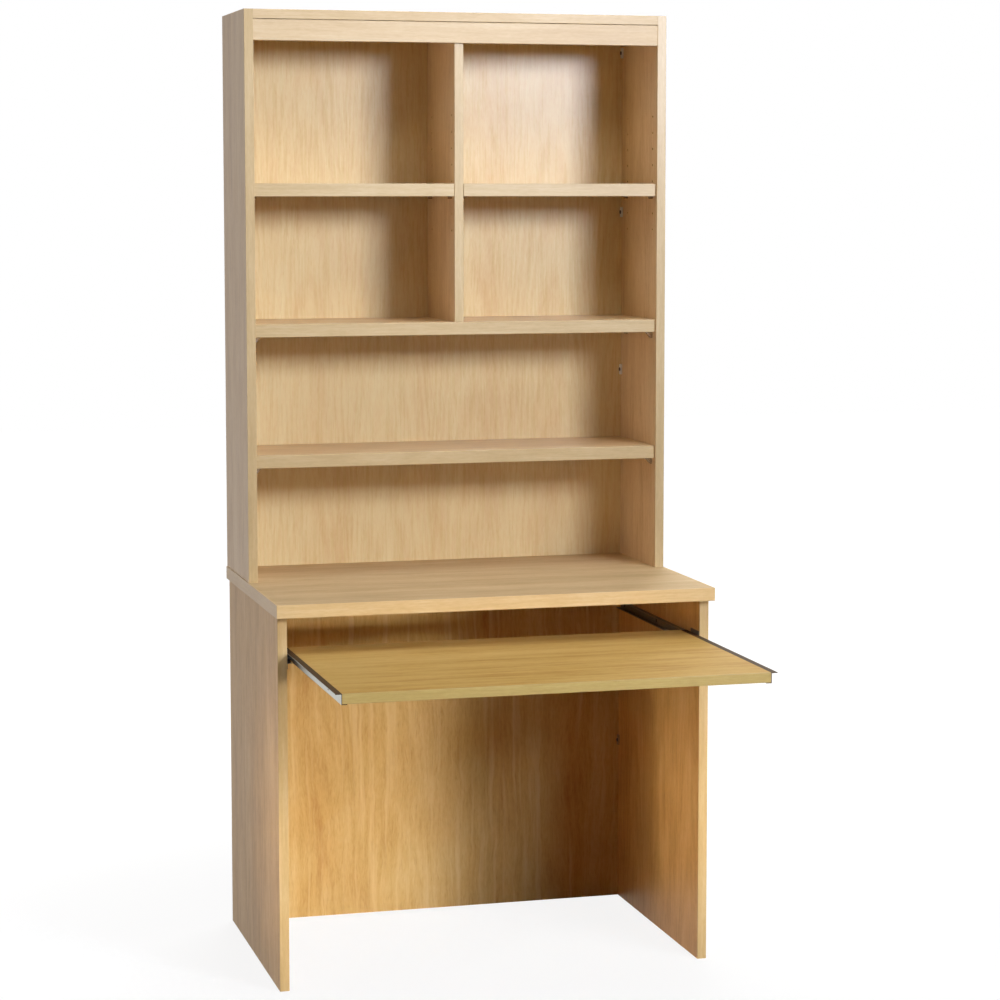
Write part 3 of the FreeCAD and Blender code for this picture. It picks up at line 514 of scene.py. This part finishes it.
# Lights
# Soft boxes at a plain level: a cool key from the front right above eye level, a long gridded one from the
# right and a small warm one from the left on the desk, one overhead, and ones for the left side and the
# back.
def soft_box(name, place, aim, size, level, tint=(1.0, 1.0, 1.0), spread=180):
    """An area lamp. A level of 1 shows a surface that faces it at its aim in the surface's own colour.

    spread is the angle that the grid on the lamp lets through, in degrees, and 180 is no grid.
    """
    lamp = bpy.data.lights.new(name, "AREA")
    lamp.shape = "RECTANGLE"
    lamp.size, lamp.size_y = size
    lamp.color = tint
    lamp.spread = math.radians(spread)
    way = Vector(aim) - Vector(place)
    half = math.radians(spread / 2)
    narrowing = 1.0 if spread == 180 else math.tan(half) / (math.tan(half) - half)
    lamp.energy = level * math.pi ** 2 * way.length_squared / narrowing
    box = bpy.data.objects.new(name, lamp)
    box.location = place
    box.rotation_euler = way.to_track_quat("-Z", "Y").to_euler()
    bpy.context.scene.collection.objects.link(box)


soft_box("key", place=(1.5, -2.85, 2.15), aim=(-0.4, 0.3, 1.4), size=(1.0, 0.7), level=0.92,
         tint=(0.94, 1.0, 1.18), spread=62)
soft_box("desk_strip", place=(2.05, -3.2, 0.83), aim=(-0.6, 0.2, 0.1), size=(2.2, 0.16), level=2.75,
         tint=(1.0, 0.98, 0.94), spread=21)
soft_box("desk_fill", place=(-3.0, -1.0, 0.35), aim=(0.4, 0.05, 0.3), size=(0.5, 0.4), level=0.62,
         tint=(1.04, 0.88, 0.66), spread=12)
soft_box("overhead", place=(0.2, -0.9, 3.4), aim=(0.0, 0.0, 0.7), size=(2.0, 2.0), level=0.52)
soft_box("left_fill", place=(-3.7, -1.0, 1.0), aim=(-0.42, 0.2, 0.9), size=(1.6, 1.6), level=0.26,
         tint=(1.0, 0.9, 0.96))
soft_box("back_fill", place=(0.8, 2.6, 3.6), aim=(0.0, 0.47, 0.9), size=(2.0, 2.0), level=0.8)

# Camera
# It stands to the left of the desk at the height of the upper shelf and looks a little down, with a small
# lens shift that keeps upright edges nearly upright.
lens_pixels = 2713.4
centre_pixels = (500.0, 450.0)
picture_pixels = 1000
film_width = 36.0
turn = 0.2683
tilt = -0.0948
camera_place = (-1.3302, -4.9081, 1.4791)
camera_data = bpy.data.cameras.new("camera")
camera_data.sensor_width = film_width
camera_data.lens = lens_pixels * film_width / picture_pixels
camera_data.shift_x = 0.5 - centre_pixels[0] / picture_pixels
camera_data.shift_y = centre_pixels[1] / picture_pixels - 0.5
camera = bpy.data.objects.new("camera", camera_data)
camera.location = camera_place
forward = Vector((math.sin(turn) * math.cos(tilt), math.cos(turn) * math.cos(tilt), math.sin(tilt)))
camera.rotation_euler = forward.to_track_quat("-Z", "Y").to_euler()
bpy.context.scene.collection.objects.link(camera)
bpy.context.scene.camera = camera
bpy.context.scene.view_settings.view_transform = "Standard"
